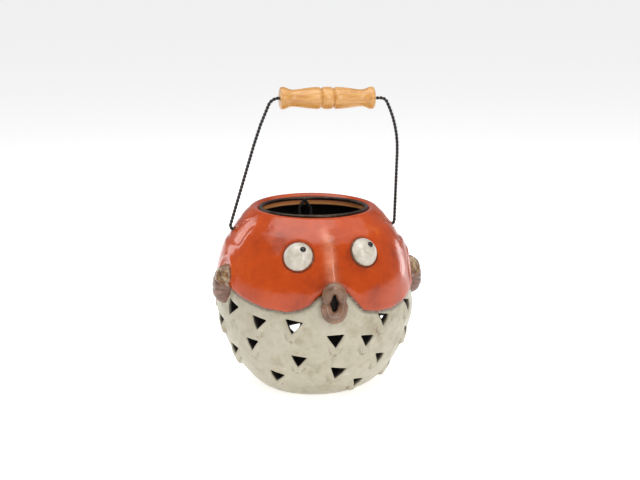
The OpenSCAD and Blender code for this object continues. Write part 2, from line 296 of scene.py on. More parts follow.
def fromHole(azimuth, length, spot):
    # chart coordinates to a hole's own: x right, y up, in mm, turned with the hole
    az, z, width, turn = spot
    x = (azimuth - math.radians(az)) * shellRadius(heightAt(length))
    y = length - lengthAt(z)
    t = math.radians(-turn)
    return x * math.cos(t) + y * math.sin(t), -x * math.sin(t) + y * math.cos(t)


def toChart(x, y, spot):
    az, z, width, turn = spot
    t = math.radians(-turn)
    east, north = x * math.cos(t) - y * math.sin(t), x * math.sin(t) + y * math.cos(t)
    length = lengthAt(z) + north
    return math.radians(az) + east / shellRadius(heightAt(length)), length


def corners(width):
    # the pierced triangle, drawn in by its corner radius
    h = hole["aspect"] * width
    k = hole["corner"]
    tip = math.atan2(width / 2, h)
    top = (math.pi / 2 - tip) / 2
    inX = k / math.tan(top)
    return np.array([(-width / 2 + inX, h / 2 - k), (0, -h / 2 + k / math.sin(tip)), (width / 2 - inX,
                                                                                      h / 2 - k)])


def triangleDistance(x, y, width):
    # signed distance to the rounded triangle, positive outside
    c = corners(width)
    inside = np.full(np.shape(x), True)
    closest = np.full(np.shape(x), np.inf)
    for i in range(3):
        a, b = c[i], c[(i + 1) % 3]
        e = b - a
        px, py = x - a[0], y - a[1]
        t = np.clip((px * e[0] + py * e[1]) / (e @ e), 0, 1)
        closest = np.minimum(closest, np.hypot(px - t * e[0], py - t * e[1]))
        inside &= (e[0] * py - e[1] * px) > 0
    return np.where(inside, -closest, closest) - hole["corner"]


def triangleRing(width, off):
    # the triangle's outline, off mm outside it: an arc round each corner and points along each side
    c = corners(width)
    r = hole["corner"] + off
    points = []
    for i in range(3):
        before, here, after = c[i - 1], c[i], c[(i + 1) % 3]
        a0 = math.atan2(*((here - before) / np.linalg.norm(here - before))) * -1
        a1 = math.atan2(*((after - here) / np.linalg.norm(after - here))) * -1
        if a1 < a0:
            a1 += 2 * math.pi
        turn = np.linspace(a0, a1, hole["arcPoints"])
        points.append(np.stack([here[0] + r * np.cos(turn), here[1] + r * np.sin(turn)], -1))
        begin, end = points[-1][-1], after + r * np.array([math.cos(a1), math.sin(a1)])
        share = np.linspace(0, 1, hole["sidePoints"] + 2)[1:-1, None]
        points.append(begin + (end - begin) * share)
    return np.vstack(points)


def near(angle):
    # the same angle between the seam and the seam less a full turn
    low = globe["seam"] - 360
    return (angle - low) % 360 + low


spots = [(near(a), z, w, t) for a, z, w, t in holes]


def borderDistance(azimuth, length):
    # mm above (+) or below (-) the lower border of the orange glaze
    degrees = (np.degrees(azimuth) + 180) % 360 - 180
    steps = np.linspace(-180, 180, 721)
    line = np.interp(steps, mask["azimuth"], mask["height"])
    kernel = np.hanning(13)
    line = np.convolve(np.concatenate([line[-7:-1], line, line[1:7]]), kernel / kernel.sum(), "valid")
    rise = length - lengthAt(np.interp(degrees, steps, line))
    tilt = np.gradient(line, np.radians(0.5) * globe["radius"])
    return rise / np.sqrt(1 + np.interp(degrees, steps, tilt) ** 2)


def wallRelief(azimuth, length):
    # everything that stands out of the plain wall, in mm: glaze step, brow, cheeks, thorns, rounded hole edges
    z = heightAt(length)
    degrees = (np.degrees(azimuth) + 180) % 360 - 180
    border = borderDistance(azimuth, length)
    t = np.clip(border / mask["round"], 0, 1)
    relief = mask["belly"] + mask["rise"] * np.sqrt(1 - (1 - t) ** 2)
    relief -= mask["groove"] * np.exp(-((border + 0.5) / 1.1) ** 2)
    below = smooth(8, -30, border)
    flank = belly["flank"] * smooth(10, 75, degrees) * smooth(175, 120, degrees)
    relief += below * (belly["out"] - belly["tuck"] * smooth(72, 48, z) + flank) * smooth(0, 12, z)
    relief += belly["foot"] * smooth(16, 2, z)
    across = np.radians(degrees) * shellRadius(z)  # mm round the wall from the nose line
    over = smooth(-1, 5, border)
    ridge = (face["noseTop"] + face["noseSwell"] * smooth(130, 98, z)) * smooth(146, 134, z)
    relief += over * ridge * np.exp(-((across - face["noseX"]) / face["noseWide"]) ** 2)
    for side in (-1, 1):
        cheek = np.exp(-((across - side * face["cheekX"]) / face["cheekWide"]) ** 2
                       - ((z - face["cheekZ"]) / face["cheekTall"]) ** 2)
        relief += over * face["cheekOut"] * cheek
        turn, high, _ = eyes["left" if side < 0 else "right"]
        eyeX = (azimuth - math.radians(turn)) * shellRadius(np.float64(high))
        ring = np.hypot(eyeX, length - lengthAt(high)) - eyes["radius"]
        relief -= eyes["groove"] * np.exp(-((ring - 0.4) / 0.8) ** 2)
    brownAndLipHighlight = np.zeros_like(relief)
    for spot in spots:
        width = spot[2]
        x, y = fromHole(azimuth, length, spot)
        close = (np.abs(x) < 18) & (np.abs(y) < 22)
        if not close.any():
            continue
        x, y = x[close], y[close]
        half = hole["aspect"] * width / 2
        tip = -half - thorn["drop"]
        wide = (0.3 + 0.7 * np.clip((y - tip) / (half - tip), 0, 2)) * (width / 2 + thorn["side"])
        q = np.abs(x) / np.maximum(wide, 0.4)
        ramped = np.clip((half - y) / (half - tip), 0, 1)
        plate = smooth(1.12, 0.55, q) * smooth(half + 1, half - 5, y) * smooth(tip - 0.8, tip + 2.4, y)
        point = thorn["height"] * (0.3 + 0.7 * ramped) * plate
        d = triangleDistance(x, y, width)
        e = hole["edge"]
        rounded = e * (1 - np.sqrt(np.clip(1 - (1 - np.clip(d, 0, e) / e) ** 2, 0, 1)))
        relief[close] += point - rounded * (d < e)
        # the cream goes brown along the thorn's lower edges and in a patch under its tip
        outline = (q - 1) * np.maximum(wide, 0.4) * 0.75
        crook = np.exp(-((outline - 0.3) / 1.7) ** 2) * smooth(half * 0.2, tip + 2, y)
        foot = np.exp(-(np.hypot(x, (y - tip + 0.5) * 0.8) / 3.0) ** 2) * (y < tip + 1.5)
        brownAndLipHighlight[close] = np.maximum(brownAndLipHighlight[close], np.maximum(0.62 * crook * (y > tip - 1), 0.75 * foot))
    wobble = 0.35 * np.sin(3 * azimuth + 1.0) * np.sin(z / 23) + 0.25 * np.sin(7 * azimuth + z / 11)
    relief = (relief + wobble) * smooth(146.3, 138, z)
    # the wall keeps its plain shape round the bail's holes and is a little lower where its legs swing past
    fromHinge = (np.abs(np.abs(degrees) - 90)) * np.radians(1) * shellRadius(z)
    rise = length - lengthAt(bailHole["height"])
    swept = smooth(*bailHole["sweptAcross"], fromHinge)
    swept = swept * smooth(*bailHole["sweptTall"], np.abs(rise - bailHole["sweptRise"]))
    plain = -bailHole["lower"] * smooth(bailHole["plain"], bailHole["lowered"], np.hypot(fromHinge, rise))
    relief = relief * (1 - swept) + plain * swept
    for side in ("left", "right"):
        turn, high = fins[side]
        rim = np.hypot((azimuth - math.radians(turn)) * globe["radius"] / (fins["wide"] / 2 + 1.5),
                       (length - lengthAt(high)) / (fins["long"] / 2 + 1.0))
        relief -= 0.8 * np.exp(-((rim - 1) * 12 / 1.5) ** 2) - 0.9 * np.exp(-((rim - 1.25) * 12 / 1.8) ** 2) * over
        seam = crease[side]
        for (a0, z0), (a1, z1) in zip(seam, seam[1:]):
            start = np.array([math.radians(a0) * 60, lengthAt(z0)])
            run = np.array([math.radians(a1) * 60, lengthAt(z1)]) - start
            px, py = azimuth * 60 - start[0], length - start[1]
            t = np.clip((px * run[0] + py * run[1]) / (run @ run), 0, 1)
            groove = 0.7 * np.exp(-(np.hypot(px - t * run[0], py - t * run[1]) / 1.1) ** 2)
            relief = np.where(groove > 0.02, relief - groove * smooth(146.4, 145, z), relief)
    fleck = np.zeros_like(relief)
    for turn, high, _ in (eyes["left"], eyes["right"]):
        eyeX = (azimuth - math.radians(turn)) * shellRadius(np.float64(high))
        apart = np.hypot(eyeX, length - lengthAt(high)) - eyes["radius"]
        fleck = np.maximum(fleck, eyes["browned"] * np.exp(-((apart - 0.2) / 0.9) ** 2))
    return relief, border, brownAndLipHighlight, fleck


def chartPoints(spacing, keepOff):
    # hex lattice over the chart, kept clear of the holes and of the chart's own edges
    g = globe
    west, east = math.radians(g["seam"] - 360) * g["radius"], math.radians(g["seam"]) * g["radius"]
    low, high = lengthAt(g["bandLow"]), lengthAt(g["bandHigh"])
    rows = int(round((high - low) / (spacing * 0.866)))
    count = int(round((east - west) / spacing))
    j, i = np.meshgrid(np.arange(1, rows), np.arange(count), indexing="ij")
    u = west + (i + 0.5 * (j % 2) + 0.25) / count * (east - west)
    v = low + (high - low) * j / rows
    u, v = u.ravel(), v.ravel()
    keep = (u > west + 0.6 * spacing) & (u < east - 0.6 * spacing)
    for spot in spots:
        x, y = fromHole(u / g["radius"], v, spot)
        close = (np.abs(x) < 14) & (np.abs(y) < 14)
        keep[close] &= triangleDistance(x[close], y[close], spot[2]) > keepOff
    for side in (-90, 90):
        x = (u / g["radius"] - math.radians(side)) * shellRadius(np.float64(bailHole["height"]))
        keep &= np.hypot(x,
                         v - lengthAt(bailHole["height"])) > bailHole["radius"] + keepOff + 4 * (spacing > 3)
    return u[keep], v[keep]


def bailContour(side, inset, grow):
    # where a level hole along X leaves the wall, as chart coordinates
    turn = np.linspace(0, 2 * np.pi, bailHole["points"], endpoint=False)
    r = bailHole["radius"] + grow
    y, z = r * np.cos(turn), bailHole["height"] + r * np.sin(turn)
    fine = np.linspace(100, 151, 2000)
    wallZ = fine - inset * np.sin(shellSlope(fine))
    wallR = shellRadius(fine) - inset * np.cos(shellSlope(fine))
    at = np.interp(z, wallZ, fine)
    azimuth = side * (np.pi / 2) + side * np.arcsin(y / np.interp(z, wallZ, wallR))
    u, v = azimuth * globe["radius"], lengthAt(at)
    return (u, v) if side < 0 else (u[::-1], v[::-1])


def triangulate(u, v, loops):
    # Delaunay triangles over the chart with each loop kept as an edge; those inside a loop are dropped
    edges = [(a, b) for loop in loops for a, b in zip(loop, np.roll(loop, -1))]
    out = delaunay_2d_cdt(np.stack([u, v], -1).tolist(), [tuple(map(int, e)) for e in edges], [], 0, 1e-6)
    back = np.array([o[0] for o in out[3]])
    faces = back[np.array(out[2])]
    owner = np.full(len(u), -1)
    for k, loop in enumerate(loops):
        owner[loop] = k
    own = owner[faces]
    holeFace = (own[:, 0] >= 0) & (own[:, 0] == own[:, 1]) & (own[:, 1] == own[:, 2])
    return faces[~holeFace]


def wallLayer(inner):
    # the pierced band of one side of the wall: chart coordinates, faces, and the loops round the holes
    g = globe
    parts, loops, count = [], [], 0

    def put(u, v):
        nonlocal count
        parts.append((np.asarray(u, float), np.asarray(v, float)))
        count += len(u)
        return np.arange(count - len(u), count)

    west, east = math.radians(g["seam"] - 360) * g["radius"], math.radians(g["seam"]) * g["radius"]
    low, high = lengthAt(g["bandLow"]), lengthAt(g["bandHigh"])
    across = np.linspace(west, east, g["columns"] + 1)
    bottom, top = put(across, np.full(len(across), low)), put(across, np.full(len(across), high))
    spacing = g["innerSpacing"] if inner else g["spacing"]
    rise = np.linspace(low, high, int((high - low) / spacing) + 1)[1:-1]
    left, right = put(np.full(len(rise), west), rise), put(np.full(len(rise), east), rise)
    rings = (1.0,) if inner else hole["rings"]
    for spot in spots:
        for n, off in enumerate(rings):
            ring = triangleRing(spot[2], off)
            azimuth, length = toChart(ring[:, 0], ring[:, 1], spot)
            index = put(azimuth * g["radius"], length)
            if n == 0:
                loops.append(index)
    for side in (-1, 1):
        for n, grow in enumerate((0.0,) if inner else (0.0, 0.4, 1.1)):
            index = put(*bailContour(side, g["wall"] if inner else 0.0, grow))
            if n == 0:
                loops.append(index)
    put(*chartPoints(spacing, 2.0 if inner else rings[-1] + 0.75))
    u, v = (np.concatenate(c) for c in zip(*parts))
    faces = triangulate(u, v, loops)
    weld = np.arange(len(u))
    weld[right] = left
    weld[bottom[-1]], weld[top[-1]] = bottom[0], top[0]
    return u / g["radius"], v, weld[faces], loops, bottom[:-1], top[:-1]


def buildGlobe():
    g = globe
    outAz, outLength, outFaces, outLoops, outBottom, outTop = wallLayer(False)
    inAz, inLength, inFaces, inLoops, inBottom, inTop = wallLayer(True)
    relief, border, brownAndLipHighlight, fleck = wallRelief(outAz, outLength)
    outer = onWall(outAz, heightAt(outLength), relief)
    inner = onWall(inAz, heightAt(inLength), -g["wall"])
    points, faces = [outer, inner], [outFaces, inFaces[:, ::-1] + len(outer)]
    shade = {"borderMm": [border, np.full(len(inner), 20.0)], "brownAndLipHighlight": [brownAndLipHighlight, np.zeros(len(inner))],
             "inside": [np.zeros(len(outer)), np.ones(len(inner))]}
    count = len(outer) + len(inner)
    azimuth = outAz[outBottom]  # of the columns that every turned row shares

    def addPoints(new, values):
        # new points with their border distance, brown and painted highlight share, and inside share; gives back
        # their numbers
        nonlocal count
        points.append(new)
        for key, value in zip(("borderMm", "brownAndLipHighlight", "inside"), values):
            shade[key].append(np.full(len(new), value, float))
        count += len(new)
        return np.arange(count - len(new), count)

    def join(row, after, flip=False):
        # quads between two closed rows of points
        quads = np.stack([row, np.roll(row, -1), np.roll(after, -1), after], -1)
        faces.append(quads[:, ::-1] if flip else quads)

    def revolve(row, outline, values, flip=False):
        # each radius and height of the outline carried round the axis, and joined to the row before it
        for r, z in outline:
            ring = np.stack([r * np.sin(azimuth), -r * np.cos(azimuth), np.full(len(azimuth), z)], -1)
            after = addPoints(ring, values(r, z))
            join(row, after, flip)
            row = after
        return row

    def pole(row, z, values, flip=False):
        # a fan of triangles from the row to one point on the axis
        middle = addPoints(np.array([[0, 0, z]]), values)
        fan = np.stack([row, np.roll(row, -1), np.full(len(row), middle[0])], -1)
        faces.append(fan[:, ::-1] if flip else fan)

    for outLoop, inLoop in zip(outLoops, inLoops):  # hole walls: three rows between the two layers
        a, b = outer[outLoop], inner[inLoop]
        rows = [outLoop]
        for share in (0.12, 0.45, 0.8):
            rows.append(addPoints(a + (b - a) * share, (border[outLoop], brownAndLipHighlight[outLoop], min(1.0,
                                                                                             share * 5))))
        rows.append(inLoop + len(outer))
        for row, after in zip(rows, rows[1:]):
            join(row, after, True)
    # lip: up the wall's curve, over the roll, down the throat and back under to the inner wall
    upper = [(shellRadius(z), z) for z in (147.2, 148.3, 149.3)] + [(54.3, 150.3), (53.5, 151.1)]
    roll = [(g["lipMiddle"] + g["lipRadius"] * math.cos(a), g["lipHeight"] + g["lipRadius"] * math.sin(a))
            for a in np.radians(np.linspace(62, 182, 14))]
    throat = g["lipMiddle"] - g["lipRadius"]
    under = [(throat + 0.1, 146.3), (throat + 0.4, 145.2), (throat + 1.2, 144.5), (throat + 2.4, 144.4),
             (throat + 4.0, 145.1), (51.0, 145.8)]
    # a painted highlight along the lip's under edge (144.3 to 146.5 mm) and weaker painted light in the throat
    # below the ring; near black below 145 mm
    row = revolve(outTop, upper + roll + under, lambda r, z: (
        20.0, 1.0 if 144.3 < z < 146.5 else 0.65 * (r < 48 and z < 149), float(z < 145.0)))
    join(row, inTop + len(outer))
    # the foot and the base under it, then the floor inside
    base = [(41.2, 0.9), (40.2, 0.25), (38.8, 0.0), (37.0, 0.0), (20.0, 0.0), (6.0, 0.0)]
    row = revolve(outBottom, base, lambda r, z: (-20.0, 0.3 if z == 0 else 0.0, 0.0), True)
    pole(row, 0.0, (-20.0, 0.0, 0.0), True)
    row = revolve(inBottom + len(outer), [(36.5, 7.0), (30.0, 6.9), (10.0, 6.9)], lambda r, z: (20.0,
                                                                                                0.0, 1.0))
    pole(row, 6.9, (-20.0, 0.0, 1.0))
    points = np.vstack(points)
    shade = {key: np.concatenate(parts) for key, parts in shade.items()}
    # the rim's crest is higher at the back and lower in front
    x, y, z = points.T
    r = np.hypot(x, y)
    rear = np.clip(y / np.maximum(r, 1), 0, 1) ** 1.5
    fore = np.clip(-y / np.maximum(r, 1), 0, 1) ** 1.2
    z += (g["backRise"] * rear - g["foreDrop"] * fore) * smooth(44.5, 49.0, r) * smooth(132, 151, z)
    # the mouth's hollow is dark, a painted highlight runs down the ridge of the nose, and brown flecks lie on both
    # its sides
    behind = np.hypot((x - 1.3) / 4.5, (z - mouth["height"]) / 9)
    shade["inside"] = np.maximum(shade["inside"], (behind < 1) * (y < -70))
    # a painted highlight along the crest of the nose, fading out towards the rim and kept off the mouth's hollow
    fromCrest = (x - face["noseX"] - 0.06 * (mouth["height"] - z)) / face["crestWide"]
    shade["crest"] = (face["crestHighlight"] * np.exp(-fromCrest ** 2) * (y < 0) * smooth(148, 138, z)
                      * (shade["inside"] < 0.5))
    shade["fleck"] = 0.42 * np.exp(-((x - face["noseX"]) / 13) ** 2) * (y < 0) * smooth(150, 135, z)
    shade["fleck"][:len(fleck)] = np.maximum(shade["fleck"][:len(fleck)], fleck)
    print("  points:", len(points), "faces:", sum(len(part) for part in faces))
    return makePiece("globeShell", points, faces, shade)


print("globe")
globeShell = buildGlobe()
globeShell.data.materials.append(stonewareGlaze())
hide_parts("body")


def onShell(azimuth, z, local):
    # local x to the right, y up the wall and z outwards, from a point of the wall; azimuth in degrees
    a, s, r = math.radians(azimuth), float(shellSlope(np.float64(z))), float(shellRadius(np.float64(z)))
    right = np.array([math.cos(a), math.sin(a), 0])
    normal = np.array([math.sin(a) * math.cos(s), -math.cos(a) * math.cos(s), math.sin(s)])
    up = np.cross(normal, right)
    local = np.asarray(local, float)
    start = np.array([r * math.sin(a), -r * math.cos(a), z])
    return start + local[..., :1] * right + local[..., 1:2] * up + local[..., 2:] * normal


def dome(across, tall, out, rows=26, columns=56, power=2.0, wobble=0.0):
    # half of a superellipsoid: radius across cos(t), height out sin(t)^(2 / power), closed by a flat bottom
    t = np.linspace(0, np.pi / 2, rows)[:-1, None]
    turn = np.linspace(0, 2 * np.pi, columns, endpoint=False)[None, :]
    shrink = np.cos(t) ** (2 / power) * (1 + wobble * np.sin(2 * turn + 1) + wobble * np.sin(3 * turn))
    grid = np.stack([across * shrink * np.cos(turn), tall * shrink * np.sin(turn),
                     out * np.sin(t) ** (2 / power) + 0 * turn], -1).reshape(-1, 3)
    points = np.vstack([grid, [[0, 0, out], [0, 0, 0]]])
    j = np.arange(columns)
    k = (j + 1) % columns
    top = (rows - 2) * columns
    faces = [gridFaces(rows - 1, columns), np.stack([top + j, top + k, np.full(columns, len(grid))], -1),
             np.stack([k, j, np.full(columns, len(grid) + 1)], -1)]
    return points, faces


def buildEye(side):
    azimuth, z, look = eyes[side]
    e = eyes
    points, faces = dome(e["radius"], e["radius"], e["out"] + e["sunk"], wobble=0.008)
    edge = 1 - smooth(1.2, 4.6, points[:, 2])
    points[:, 2] -= e["sunk"]
    ball = makePiece("eyeball" + side.title(), onShell(azimuth, z, points), faces, {"edge": edge})
    # the pupil: a button square to the dome at its place
    share = math.sqrt(1 - (look[0] ** 2 + look[1] ** 2) / e["radius"] ** 2)
    tall = e["out"] + e["sunk"]
    normal = np.array([look[0] / e["radius"] ** 2, look[1] / e["radius"] ** 2, share / tall])
    normal /= np.linalg.norm(normal)
    east = np.cross([0, 1, 0], normal)
    east /= np.linalg.norm(east)
    north = np.cross(normal, east)
    button, faces = dome(e["pupilRadius"], e["pupilRadius"], e["pupilOut"] + e["pupilSunk"], 14, 32, 2.3)
    button[:, 2] -= e["pupilSunk"]
    seat = np.array([look[0], look[1], tall * share - e["sunk"]])
    placed = seat + button[:, :1] * east + button[:, 1:2] * north + button[:, 2:] * normal
    return ball, makePiece("pupilButton" + side.title(), onShell(azimuth, z, placed), faces)


def buildLip(rise):
    # a clay coil bent over one half of the mouth: x = -a cos(s), y = b sin(s)^0.75, thicker in its middle
    m = mouth
    s = np.linspace(0.0, np.pi, 61)
    bow = np.sin(s)
    wide = 1.0 if rise > 0 else 1.1
    path = np.stack([-m["half"] * wide * np.cos(s) * (1 + 0.08 * bow),
                     rise * (m["tall"] * bow ** 0.75 - 0.6),
                     3.4 + 0.5 * bow], -1)
    ends = np.exp(-(s / 0.10) ** 2) + np.exp(-((np.pi - s) / 0.10) ** 2)
    radius = (m["coil"] + m["swell"] * bow) * (1 - 0.3 * ends)
    points, faces = tube(path, radius, (0, 0, 1), 28)
    name = "lipUpper" if rise > 0 else "lipLower"
    inner = np.hypot(points[:, 0] / 3.4, points[:, 1] / 8.5)
    deep = np.clip(1.5 - inner, 0, 1) * (1 - smooth(2.0, 6.5, points[:, 2]))
    if rise < 0:
        faces = [f[:, ::-1] for f in faces]
    return makePiece(name, onShell(m["azimuth"], m["height"], points), faces, {"deep": deep})


def buildFin(side):
    # a scallop: a puffed dome with grooves that fan out from its front edge
    f = fins
    sign = -1 if side == "left" else 1
    points, faces = dome(f["wide"] / 2, f["long"] / 2, f["out"] + f["sunk"], 44, 96, 2.5)
    x, y = points[:, 0] * -sign, points[:, 1]
    angle = np.degrees(np.arctan2(y, 16 - x))
    groove = np.zeros(len(points))
    for at in f["grooves"]:
        groove = np.maximum(groove, np.exp(-((angle - at) / f["grooveWide"]) ** 2))
    away = smooth(0, 2.5, points[:, 2])
    points[:, 2] -= f["sunk"] + f["grooveDeep"] * groove * away
    swell = 1 + 0.05 * np.sin(np.radians(angle) * 7)
    points[:, 0] *= swell
    lean = math.radians(f["lean"]) * sign
    points[:, 0], points[:, 1] = (points[:, 0] * math.cos(lean) - points[:, 1] * math.sin(lean),
                                  points[:, 0] * math.sin(lean) + points[:, 1] * math.cos(lean))
    # the fin's upper half, which carries a painted reflection
    top = smooth(1, 6, y + 0.2 * x)
    return makePiece("fin" + side.title(), onShell(*f[side], points), faces,
                     {"groove": groove * away, "top": top})


tail = {"rows": 26, "columns": 72, "root": -2.5, "long": 14.3, "rootHalf": 8, "flare": 8, "thick": 3.0,
        "flutes": 1.35, "fluteDeep": 0.22, "notch": 0.16}


def buildTail():
    # a flat fan: an ellipse across, which widens outwards, with a notched and fluted end
    t = tail
    n = np.linspace(0, 1, t["rows"])[:, None]
    turn = np.linspace(0, 2 * np.pi, t["columns"], endpoint=False)[None, :]
    half = t["rootHalf"] + t["flare"] * n ** 1.2
    tip = np.sqrt(np.clip(1 - np.clip((n - 0.72) / 0.28, 0, 1) ** 2, 0, 1))
    y = half * np.cos(turn) * (0.86 + 0.14 * tip)
    flute = 0.5 + 0.5 * np.cos(y * t["flutes"])
    x = t["thick"] * np.sin(turn) * (0.12 + 0.88 * tip) * (1 - t["fluteDeep"] * flute * n)
    out = t["root"] + t["long"] * n * (1 - t["notch"] * np.exp(-(y / 5) ** 2) * n)
    points = np.stack([x, y, out], -1).reshape(-1, 3)
    points = np.vstack([points, [[0, 0, t["root"]], [0, 0, points[-t["columns"]:, 2].mean()]]])
    j = np.arange(t["columns"])
    k = (j + 1) % t["columns"]
    last = (t["rows"] - 1) * t["columns"]
    faces = [gridFaces(t["rows"], t["columns"], flip=True),
             np.stack([j, k, np.full(t["columns"], len(points) - 2)], -1),
             np.stack([last + k, last + j, np.full(t["columns"], len(points) - 1)], -1)]
    groove = np.concatenate([(flute * n).ravel() * 0.6, [0, 0]])
    return makePiece("tailFan", onShell(*fins["tail"], points), faces,
                     {"groove": groove, "top": np.zeros(len(points))})


def eyeGlaze():
    # white tin glaze over red clay: it pulls back to a brown line round the foot of the dome
    material, tree, shader = newMaterial("eyeGlaze", {"IOR": 1.5, "Roughness": 0.16})
    where = addNode(tree, "TexCoord", out="Object")
    edge = addNode(tree, "Attribute", {"attribute_name": "edge"}, out="Fac")
    cloud, wander, ripple = [  # clouds of 5 mm, a line that wanders every 2.2 mm and ripples of 4 mm
        addNode(tree, "TexNoise", {}, {"Vector": where, "Scale": 1 / (size * mm), "Detail": detail,
                                       "Roughness": 0.55})
        for size, detail in ((5, 4), (2.2, 3), (4, 3))]
    tone = addNode(tree, "ValToRGB", {}, [cloud], [(0.3, "#AFA797"), (0.5, "#C2BAAC"), (0.7, "#D2CCC0")])
    ragged = addNode(tree, "Math", timesPlus, [addNode(tree, "Math", minus, [wander, 0.5]), 0.9, edge])
    line = addNode(tree, "ValToRGB", {}, [ragged], [(0.35, 0.0), (0.7, 0.95)])
    whole = addNode(tree, "Mix", blend, {0: line, 6: tone, 7: "#5F4A30"}, out=2)
    tree.links.new(whole, shader.inputs["Base Color"])
    bump = addNode(tree, "Bump", {}, {"Strength": 0.3, "Distance": 0.2 * mm, "Height": ripple})
    tree.links.new(bump, shader.inputs["Normal"])
    return material


def pupilGlaze():
    # thick black glaze, which gives a small sharp highlight
    return newMaterial("pupilGlaze", {"IOR": 1.5, "Roughness": 0.12, "Base Color": "#0D0C0B"})[0]


def lipGlaze():
    # mauve brown glaze in clouds of tone, oxblood inside the mouth
    material, tree, shader = newMaterial("lipGlaze", {"IOR": 1.5, "Roughness": 0.2})
    where = addNode(tree, "TexCoord", out="Object")
    deep = addNode(tree, "Attribute", {"attribute_name": "deep"}, out="Fac")
    cloud, ripple = [  # clouds of 8 mm and ripples of 5 mm
        addNode(tree, "TexNoise", {}, {"Vector": where, "Scale": 1 / (size * mm), "Detail": detail,
                                       "Roughness": 0.55})
        for size, detail in ((8, 4), (5, 3))]
    tone = addNode(tree, "ValToRGB", {}, [cloud], [(0.3, "#5E4331"), (0.5, "#7A5A45"), (0.7, "#8F6D57")])
    whole = addNode(tree, "Mix", blend, {0: deep, 6: tone, 7: "#2A0D0A"}, out=2)
    tree.links.new(whole, shader.inputs["Base Color"])
    bump = addNode(tree, "Bump", {}, {"Strength": 0.35, "Distance": 0.3 * mm, "Height": ripple})
    tree.links.new(bump, shader.inputs["Normal"])
    return material


def finGlaze():
    # the same mauve brown, with a painted reflection in pale patches over the upper half of the fin, and dark
    # grooves
    material, tree, shader = newMaterial("finGlaze", {"IOR": 1.5, "Roughness": 0.2})
    where = addNode(tree, "TexCoord", out="Object")
    top, groove = [addNode(tree, "Attribute", {"attribute_name": name}, out="Fac") for name in ("top",
                                                                                                "groove")]
    cloud, patch = [  # clouds of 7 mm and pale patches of 4.5 mm
        addNode(tree, "TexNoise", {}, {"Vector": where, "Scale": 1 / (size * mm), "Detail": 4,
                                       "Roughness": 0.55})
        for size in (7, 4.5)]
    tone = addNode(tree, "ValToRGB", {}, [cloud], [(0.3, "#5F4232"), (0.5, "#775546"), (0.7, "#8E6E60")])
    # pale patches on the fin's upper half: a painted reflection in the glaze
    finTopReflection = addNode(tree, "ValToRGB", {}, [patch], [(0.4, "#6E4C30"), (0.55, "#967A58"), (0.7, "#C2B49C")])
    tone = addNode(tree, "Mix", blend, {0: top, 6: tone, 7: finTopReflection}, out=2)
    filled = addNode(tree, "Math", times, [groove, 0.5])
    whole = addNode(tree, "Mix", blend, {0: filled, 6: tone, 7: "#3A271D"}, out=2)
    tree.links.new(whole, shader.inputs["Base Color"])
    bump = addNode(tree, "Bump", {}, {"Strength": 0.35, "Distance": 0.3 * mm, "Height": cloud})
    tree.links.new(bump, shader.inputs["Normal"])
    return material


print("eyes, lips and fins")
white, black = eyeGlaze(), pupilGlaze()
for side in ("left", "right"):
    ball, button = buildEye(side)
    ball.data.materials.append(white)
    button.data.materials.append(black)
    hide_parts("eye_" + side)
    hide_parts("pupil_" + side)
mauve, scallop = lipGlaze(), finGlaze()
for rise, node in ((1, "upper_lip"), (-1, "lower_lip")):
    lip = buildLip(rise)
    lip.data.materials.append(mauve)
    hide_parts(node)
for fin, node in ((buildFin("left"), "fin_left"), (buildFin("right"), "fin_right"), (buildTail(),
                                                                                     "tail_fin")):
    fin.data.materials.append(scallop)
    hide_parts(node)


bail = {
    "gripX": 11.5, "gripZ": 242.1, "tilt": 0.9, "gripLong": 79.0, "hinge": 134.5, "elbow": 3.2, "hookX": 52.0,
    "hook": 4.0, "left": [(1, 9, 66), (0, 250, 8)], "right": [(6, 6, 63), (0, 90, 28)],
    "strand": 0.75, "apart": 0.69, "pitch": 6.0, "step": 0.55,
}
gripShape = [(39.5, 1.8), (39.5, 7.9), (39.25, 8.6), (38.7, 9.05), (37.8, 9.3), (36.6, 9.35), (35.4, 9.05),
             (34, 8.5), (32.4, 7.8), (30.8, 7.3), (29, 7.1), (27, 7.15), (24.5, 7.4), (21, 7.9), (17, 8.45),
             (13, 8.9), (10, 9.1), (8, 9.12), (6.9, 9.0), (6.1, 8.6), (5.6, 8.05), (5.2, 7.4), (4.8, 7.95),
             (4.3, 8.5), (3.6, 8.95), (2.5, 9.2), (0, 9.3)]


def walk(bends, start, heading):
    # stations (x, z, heading) along straight lengths and bends, as a wire bender would make them
    x, z = start
    out = [(x, z, heading)]
    for straight, radius, bend in bends:
        a = math.radians(heading)
        x, z = x + straight * math.cos(a), z - straight * math.sin(a)
        cx, cz = x - radius * math.sin(a), z - radius * math.cos(a)
        for t in np.radians(np.linspace(heading, heading + bend, max(3, int(bend / 4)))):
            out.append((cx + radius * math.sin(t), cz + radius * math.cos(t), math.degrees(t)))
        x, z, heading = out[-1]
    return out


def leg(bends, start, heading):
    # the bends, the straight and elbow that end on the hinge line, the pin inwards and its curled end
    b = bail
    x, z, a = walk(bends, start, heading)[-1]
    e = math.radians(a)
    bends = bends + [((z - b["hinge"] - b["elbow"] * (1 + math.cos(e))) / math.sin(e), b["elbow"], 180 - a)]
    x, z, a = walk(bends, start, heading)[-1]
    return walk(bends + [(x - b["hookX"], b["elbow"], 90), (b["hook"], b["elbow"], 11)], start, heading)


